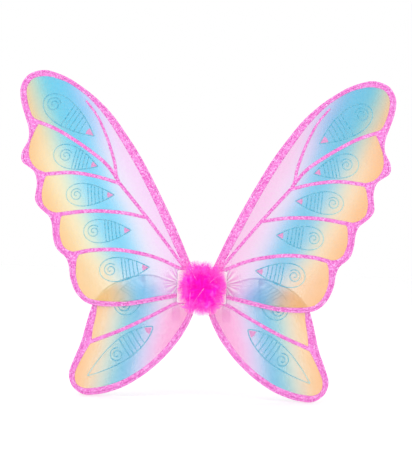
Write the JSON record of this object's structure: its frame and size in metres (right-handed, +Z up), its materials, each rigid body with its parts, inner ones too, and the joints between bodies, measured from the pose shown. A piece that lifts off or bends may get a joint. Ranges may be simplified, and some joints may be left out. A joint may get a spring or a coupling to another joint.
{
  "type": "fairy wings",
  "caption": "Wired and skinned butterfly-shaped costume wings with glittered borders, on a padded back plate with a feather puff and elastic arm loops.",
  "frame": {"origin": "centre of the pad's rear face, which rests on the wearer's back", "axes": "+Y out of the pad's rear face towards the wearer, +Z up, +X across the wings; the feather puff faces -Y"},
  "size_m": [0.5642, 0.184, 0.4848],
  "materials": {
    "coated_wire": "plastic-coated steel wire",
    "glitter_pink": "fine pink glitter on fabric",
    "printed_mesh": "sheer stretch mesh printed in a pastel gradient",
    "crimp": "plain crimped sleeve",
    "tape": "wrapped cloth tape",
    "pad_fabric": "white woven polyester",
    "foam": "open-cell foam",
    "patch_satin": "white satin",
    "thread": "polyester thread",
    "felt": "pressed felt",
    "marabou": "fluffy dyed feather",
    "elastic": "ribbed woven elastic"
  },
  "bodies": {
    "hub": {"feather_puff": "marabou", "front_patch": "patch_satin", "lower_left_crimp": "crimp", "lower_left_hem_root": "glitter_pink", "lower_left_skin_root": "printed_mesh", "lower_left_trim_root": "glitter_pink", "lower_left_wire_root": "coated_wire", "lower_right_crimp": "crimp", "lower_right_hem_root": "glitter_pink", "lower_right_skin_root": "printed_mesh", "lower_right_trim_root": "glitter_pink", "lower_right_wire_root": "coated_wire", "lower_tape": "tape", "pad_back_cover": "pad_fabric", "pad_edge_binding": "pad_fabric", "pad_foam": "foam", "pad_front_cover": "pad_fabric", "patch_stitches": "thread", "puff_disc": "felt", "strap_tabs": "elastic", "upper_left_crimp": "crimp", "upper_left_hem_root": "glitter_pink", "upper_left_skin_root": "printed_mesh", "upper_left_trim_root": "glitter_pink", "upper_left_wire_root": "coated_wire", "upper_right_crimp": "crimp", "upper_right_hem_root": "glitter_pink", "upper_right_skin_root": "printed_mesh", "upper_right_trim_root": "glitter_pink", "upper_right_wire_root": "coated_wire", "upper_tape": "tape"},
    "upper_left_wing": {"upper_left_hem": "glitter_pink", "upper_left_skin": "printed_mesh", "upper_left_trim": "glitter_pink", "upper_left_wire": "coated_wire"},
    "lower_left_wing": {"lower_left_hem": "glitter_pink", "lower_left_skin": "printed_mesh", "lower_left_trim": "glitter_pink", "lower_left_wire": "coated_wire"},
    "upper_right_wing": {"upper_right_hem": "glitter_pink", "upper_right_skin": "printed_mesh", "upper_right_trim": "glitter_pink", "upper_right_wire": "coated_wire"},
    "lower_right_wing": {"lower_right_hem": "glitter_pink", "lower_right_skin": "printed_mesh", "lower_right_trim": "glitter_pink", "lower_right_wire": "coated_wire"},
    "left_arm_loop": {"left_strap": "elastic"},
    "right_arm_loop": {"right_strap": "elastic"}
  },
  "joints": [
    {"name": "upper_left_fold", "type": "hinge", "parent": "hub", "child": "upper_left_wing", "pos_m": [-0.04, -0.011, 0], "axis": [0, 0, 1], "range_deg": [-25, 70]},
    {"name": "lower_left_fold", "type": "hinge", "parent": "hub", "child": "lower_left_wing", "pos_m": [-0.04, -0.011, 0], "axis": [0, 0, 1], "range_deg": [-25, 70]},
    {"name": "left_strap_swing", "type": "hinge", "parent": "hub", "child": "left_arm_loop", "pos_m": [-0.0388, -0.0032, 0], "axis": [0, 0, 1], "range_deg": [-10, 45]},
    {"name": "upper_right_fold", "type": "hinge", "parent": "hub", "child": "upper_right_wing", "pos_m": [0.04, -0.011, 0], "axis": [0, 0, -1], "range_deg": [-25, 70]},
    {"name": "lower_right_fold", "type": "hinge", "parent": "hub", "child": "lower_right_wing", "pos_m": [0.04, -0.011, 0], "axis": [0, 0, -1], "range_deg": [-25, 70]},
    {"name": "right_strap_swing", "type": "hinge", "parent": "hub", "child": "right_arm_loop", "pos_m": [0.0388, -0.0032, 0], "axis": [0, 0, -1], "range_deg": [-10, 45]}
  ],
  "couplings": [
    {"joint": "lower_left_fold", "follows": "upper_left_fold", "ratio": 1},
    {"joint": "lower_right_fold", "follows": "upper_right_fold", "ratio": 1}
  ]
}
